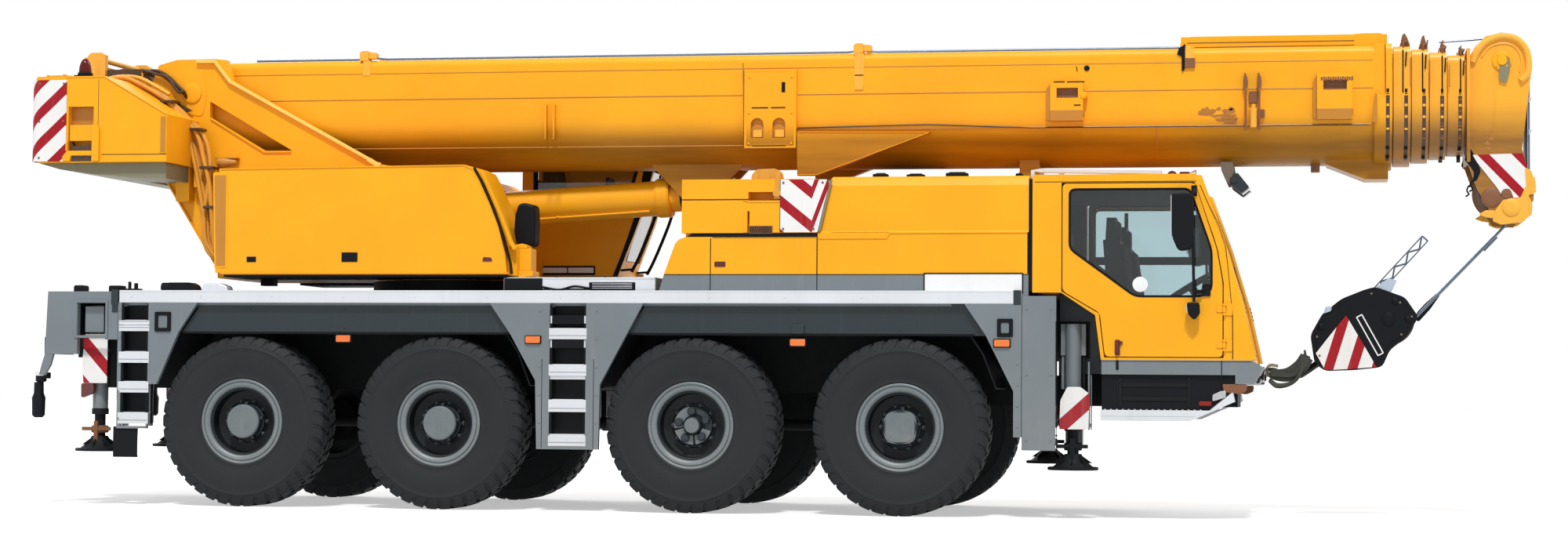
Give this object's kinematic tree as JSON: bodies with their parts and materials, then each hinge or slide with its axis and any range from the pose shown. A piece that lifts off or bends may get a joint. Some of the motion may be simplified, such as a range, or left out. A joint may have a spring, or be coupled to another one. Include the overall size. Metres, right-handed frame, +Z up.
{
  "type": "four-axle mobile crane",
  "caption": "Yellow and grey four-axle mobile crane with a stowed telescopic boom, slewing superstructure, outriggers and a hook block tied at the front.",
  "frame": {"origin": "on the ground under the middle of the overall length and width, in road trim", "axes": "+X forward along the boom, +Y to the vehicle's left, +Z up"},
  "size_m": [12.04, 2.55, 3.79],
  "materials": {
    "boom_yellow": "gloss",
    "carrier_grey": "satin",
    "fender_slate": "satin",
    "chassis_dark": "matte",
    "rail_aluminium": "brushed",
    "tyre_rubber": "matte",
    "trim_black": "matte",
    "cab_glass": "clear",
    "rod_chrome": "polished",
    "winch_steel": "brushed",
    "hook_black": "satin"
  },
  "bodies": {
    "carrier": {"chassis_frame": "chassis_dark", "deck_plate": "carrier_grey", "edge_rails": "rail_aluminium", "side_panels": "carrier_grey", "fenders": "fender_slate", "ladders": "rail_aluminium", "axles": "chassis_dark", "engine_hood": "boom_yellow", "hood_skirt": "carrier_grey", "engine_block": "chassis_dark", "ballast_blocks": "boom_yellow", "cab_shell": "boom_yellow", "cab_windscreen": "cab_glass", "cab_interior": "trim_black", "front_bumper": "carrier_grey", "cab_skirt": "trim_black"},
    "right_door": {"right_door": "boom_yellow"},
    "left_door": {"left_door": "boom_yellow"},
    "superstructure": {"turntable_frame": "boom_yellow", "side_housings": "boom_yellow", "tail_counterweight": "boom_yellow", "hoist_winch": "winch_steel", "operator_cab_shell": "boom_yellow", "operator_cab_glass": "cab_glass", "operator_seat": "trim_black"},
    "operator_door": {"operator_door": "boom_yellow"},
    "luff_barrel": {"luff_cylinder_barrel": "boom_yellow"},
    "luff_rod": {"luff_cylinder_rod": "rod_chrome"},
    "boom": {"boom_base": "boom_yellow"},
    "section_1": {"boom_section_1": "boom_yellow"},
    "section_2": {"boom_section_2": "boom_yellow"},
    "section_3": {"boom_section_3": "boom_yellow"},
    "section_4": {"boom_section_4": "boom_yellow"},
    "section_5": {"boom_section_5": "boom_yellow", "boom_sheaves": "winch_steel", "hook_block": "hook_black"},
    "wheel_1_left": {"wheel_1_left": "tyre_rubber"},
    "knuckle_1_left": {"knuckle_1_left": "chassis_dark"},
    "wheel_1_right": {"wheel_1_right": "tyre_rubber"},
    "knuckle_1_right": {"knuckle_1_right": "chassis_dark"},
    "wheel_2_left": {"wheel_2_left": "tyre_rubber"},
    "knuckle_2_left": {"knuckle_2_left": "chassis_dark"},
    "wheel_2_right": {"wheel_2_right": "tyre_rubber"},
    "knuckle_2_right": {"knuckle_2_right": "chassis_dark"},
    "wheel_3_left": {"wheel_3_left": "tyre_rubber"},
    "knuckle_3_left": {"knuckle_3_left": "chassis_dark"},
    "wheel_3_right": {"wheel_3_right": "tyre_rubber"},
    "knuckle_3_right": {"knuckle_3_right": "chassis_dark"},
    "wheel_4_left": {"wheel_4_left": "tyre_rubber"},
    "knuckle_4_left": {"knuckle_4_left": "chassis_dark"},
    "wheel_4_right": {"wheel_4_right": "tyre_rubber"},
    "knuckle_4_right": {"knuckle_4_right": "chassis_dark"},
    "outrigger_beam_front_right": {"outrigger_beam_front_right": "carrier_grey"},
    "outrigger_jack_front_right": {"outrigger_jack_front_right": "chassis_dark"},
    "outrigger_beam_front_left": {"outrigger_beam_front_left": "carrier_grey"},
    "outrigger_jack_front_left": {"outrigger_jack_front_left": "chassis_dark"},
    "outrigger_beam_rear_right": {"outrigger_beam_rear_right": "carrier_grey"},
    "outrigger_jack_rear_right": {"outrigger_jack_rear_right": "chassis_dark"},
    "outrigger_beam_rear_left": {"outrigger_beam_rear_left": "carrier_grey"},
    "outrigger_jack_rear_left": {"outrigger_jack_rear_left": "chassis_dark"}
  },
  "joints": [
    {"name": "steer_1_left", "type": "hinge", "parent": "carrier", "child": "knuckle_1_left", "pos_m": [1.21, 0.8725, 0.685], "axis": [0, 0, 1], "range_deg": [-28, 28]},
    {"name": "spin_1_left", "type": "hinge", "parent": "knuckle_1_left", "child": "wheel_1_left", "pos_m": [1.21, 1.0725, 0.685], "axis": [0, 1, 0], "continuous": true},
    {"name": "steer_1_right", "type": "hinge", "parent": "carrier", "child": "knuckle_1_right", "pos_m": [1.21, -0.8725, 0.685], "axis": [0, 0, 1], "range_deg": [-28, 28]},
    {"name": "spin_1_right", "type": "hinge", "parent": "knuckle_1_right", "child": "wheel_1_right", "pos_m": [1.21, -1.0725, 0.685], "axis": [0, 1, 0], "continuous": true},
    {"name": "steer_2_left", "type": "hinge", "parent": "carrier", "child": "knuckle_2_left", "pos_m": [-0.44, 0.8725, 0.685], "axis": [0, 0, 1], "range_deg": [-20.17, 20.17]},
    {"name": "spin_2_left", "type": "hinge", "parent": "knuckle_2_left", "child": "wheel_2_left", "pos_m": [-0.44, 1.0725, 0.685], "axis": [0, 1, 0], "continuous": true},
    {"name": "steer_2_right", "type": "hinge", "parent": "carrier", "child": "knuckle_2_right", "pos_m": [-0.44, -0.8725, 0.685], "axis": [0, 0, 1], "range_deg": [-20.17, 20.17]},
    {"name": "spin_2_right", "type": "hinge", "parent": "knuckle_2_right", "child": "wheel_2_right", "pos_m": [-0.44, -1.0725, 0.685], "axis": [0, 1, 0], "continuous": true},
    {"name": "steer_3_left", "type": "hinge", "parent": "carrier", "child": "knuckle_3_left", "pos_m": [-2.49, 0.8725, 0.685], "axis": [0, 0, 1], "range_deg": [-8.41, 8.41]},
    {"name": "spin_3_left", "type": "hinge", "parent": "knuckle_3_left", "child": "wheel_3_left", "pos_m": [-2.49, 1.0725, 0.685], "axis": [0, 1, 0], "continuous": true},
    {"name": "steer_3_right", "type": "hinge", "parent": "carrier", "child": "knuckle_3_right", "pos_m": [-2.49, -0.8725, 0.685], "axis": [0, 0, 1], "range_deg": [-8.41, 8.41]},
    {"name": "spin_3_right", "type": "hinge", "parent": "knuckle_3_right", "child": "wheel_3_right", "pos_m": [-2.49, -1.0725, 0.685], "axis": [0, 1, 0], "continuous": true},
    {"name": "steer_4_left", "type": "hinge", "parent": "carrier", "child": "knuckle_4_left", "pos_m": [-4.14, 0.8725, 0.685], "axis": [0, 0, 1], "range_deg": [-21.01, 21.01]},
    {"name": "spin_4_left", "type": "hinge", "parent": "knuckle_4_left", "child": "wheel_4_left", "pos_m": [-4.14, 1.0725, 0.685], "axis": [0, 1, 0], "continuous": true},
    {"name": "steer_4_right", "type": "hinge", "parent": "carrier", "child": "knuckle_4_right", "pos_m": [-4.14, -0.8725, 0.685], "axis": [0, 0, 1], "range_deg": [-21.01, 21.01]},
    {"name": "spin_4_right", "type": "hinge", "parent": "knuckle_4_right", "child": "wheel_4_right", "pos_m": [-4.14, -1.0725, 0.685], "axis": [0, 1, 0], "continuous": true},
    {"name": "right_door_hinge", "type": "hinge", "parent": "carrier", "child": "right_door", "pos_m": [3.682, -1.263, 1.465], "axis": [0, 0, 1], "range_deg": [0, 70]},
    {"name": "left_door_hinge", "type": "hinge", "parent": "carrier", "child": "left_door", "pos_m": [3.682, 1.263, 1.465], "axis": [0, 0, -1], "range_deg": [0, 70]},
    {"name": "front_right_beam_slide", "type": "slide", "parent": "carrier", "child": "outrigger_beam_front_right", "axis": [0, -1, 0], "range_m": [0, 1.7]},
    {"name": "front_right_jack_slide", "type": "slide", "parent": "outrigger_beam_front_right", "child": "outrigger_jack_front_right", "axis": [0, 0, -1], "range_m": [0, 0.55]},
    {"name": "front_left_beam_slide", "type": "slide", "parent": "carrier", "child": "outrigger_beam_front_left", "axis": [0, 1, 0], "range_m": [0, 1.7]},
    {"name": "front_left_jack_slide", "type": "slide", "parent": "outrigger_beam_front_left", "child": "outrigger_jack_front_left", "axis": [0, 0, -1], "range_m": [0, 0.55]},
    {"name": "rear_right_beam_slide", "type": "slide", "parent": "carrier", "child": "outrigger_beam_rear_right", "axis": [0, -1, 0], "range_m": [0, 1.7]},
    {"name": "rear_right_jack_slide", "type": "slide", "parent": "outrigger_beam_rear_right", "child": "outrigger_jack_rear_right", "axis": [0, 0, -1], "range_m": [0, 0.55]},
    {"name": "rear_left_beam_slide", "type": "slide", "parent": "carrier", "child": "outrigger_beam_rear_left", "axis": [0, 1, 0], "range_m": [0, 1.7]},
    {"name": "rear_left_jack_slide", "type": "slide", "parent": "outrigger_beam_rear_left", "child": "outrigger_jack_rear_left", "axis": [0, 0, -1], "range_m": [0, 0.55]},
    {"name": "slew", "type": "hinge", "parent": "carrier", "child": "superstructure", "pos_m": [-2.69, 0, 1.8], "axis": [0, 0, 1], "continuous": true},
    {"name": "operator_door_slide", "type": "slide", "parent": "superstructure", "child": "operator_door", "axis": [-1, 0, 0], "range_m": [0, 0.6]},
    {"name": "luff", "type": "hinge", "parent": "superstructure", "child": "boom", "pos_m": [-4.9, 0, 3.42], "axis": [0, -1, 0], "range_deg": [0, 82]},
    {"name": "luff_barrel_hinge", "type": "hinge", "parent": "superstructure", "child": "luff_barrel", "pos_m": [-3.59, 0, 2.385], "axis": [0, -1, 0], "range_deg": [0, 85.08]},
    {"name": "luff_rod_slide", "type": "slide", "parent": "luff_barrel", "child": "luff_rod", "axis": [0.9979, 0, 0.0643], "range_m": [0, 2.1832]},
    {"name": "telescope_1", "type": "slide", "parent": "boom", "child": "section_1", "axis": [1, 0, 0], "range_m": [0, 7.4]},
    {"name": "telescope_2", "type": "slide", "parent": "section_1", "child": "section_2", "axis": [1, 0, 0], "range_m": [0, 7.4]},
    {"name": "telescope_3", "type": "slide", "parent": "section_2", "child": "section_3", "axis": [1, 0, 0], "range_m": [0, 7.4]},
    {"name": "telescope_4", "type": "slide", "parent": "section_3", "child": "section_4", "axis": [1, 0, 0], "range_m": [0, 7.4]},
    {"name": "telescope_5", "type": "slide", "parent": "section_4", "child": "section_5", "axis": [1, 0, 0], "range_m": [0, 7.4]}
  ],
  "couplings": [
    {"joint": "steer_1_right", "follows": "steer_1_left", "ratio": 1},
    {"joint": "steer_2_left", "follows": "steer_1_left", "ratio": 0.72},
    {"joint": "steer_2_right", "follows": "steer_1_left", "ratio": 0.72},
    {"joint": "steer_3_left", "follows": "steer_1_left", "ratio": -0.3},
    {"joint": "steer_3_right", "follows": "steer_1_left", "ratio": -0.3},
    {"joint": "steer_4_left", "follows": "steer_1_left", "ratio": -0.75},
    {"joint": "steer_4_right", "follows": "steer_1_left", "ratio": -0.75},
    {"joint": "luff_barrel_hinge", "follows": "luff", "ratio": 1.0363},
    {"joint": "luff_rod_slide", "follows": "luff", "m_per_rad": 1.5241}
  ]
}
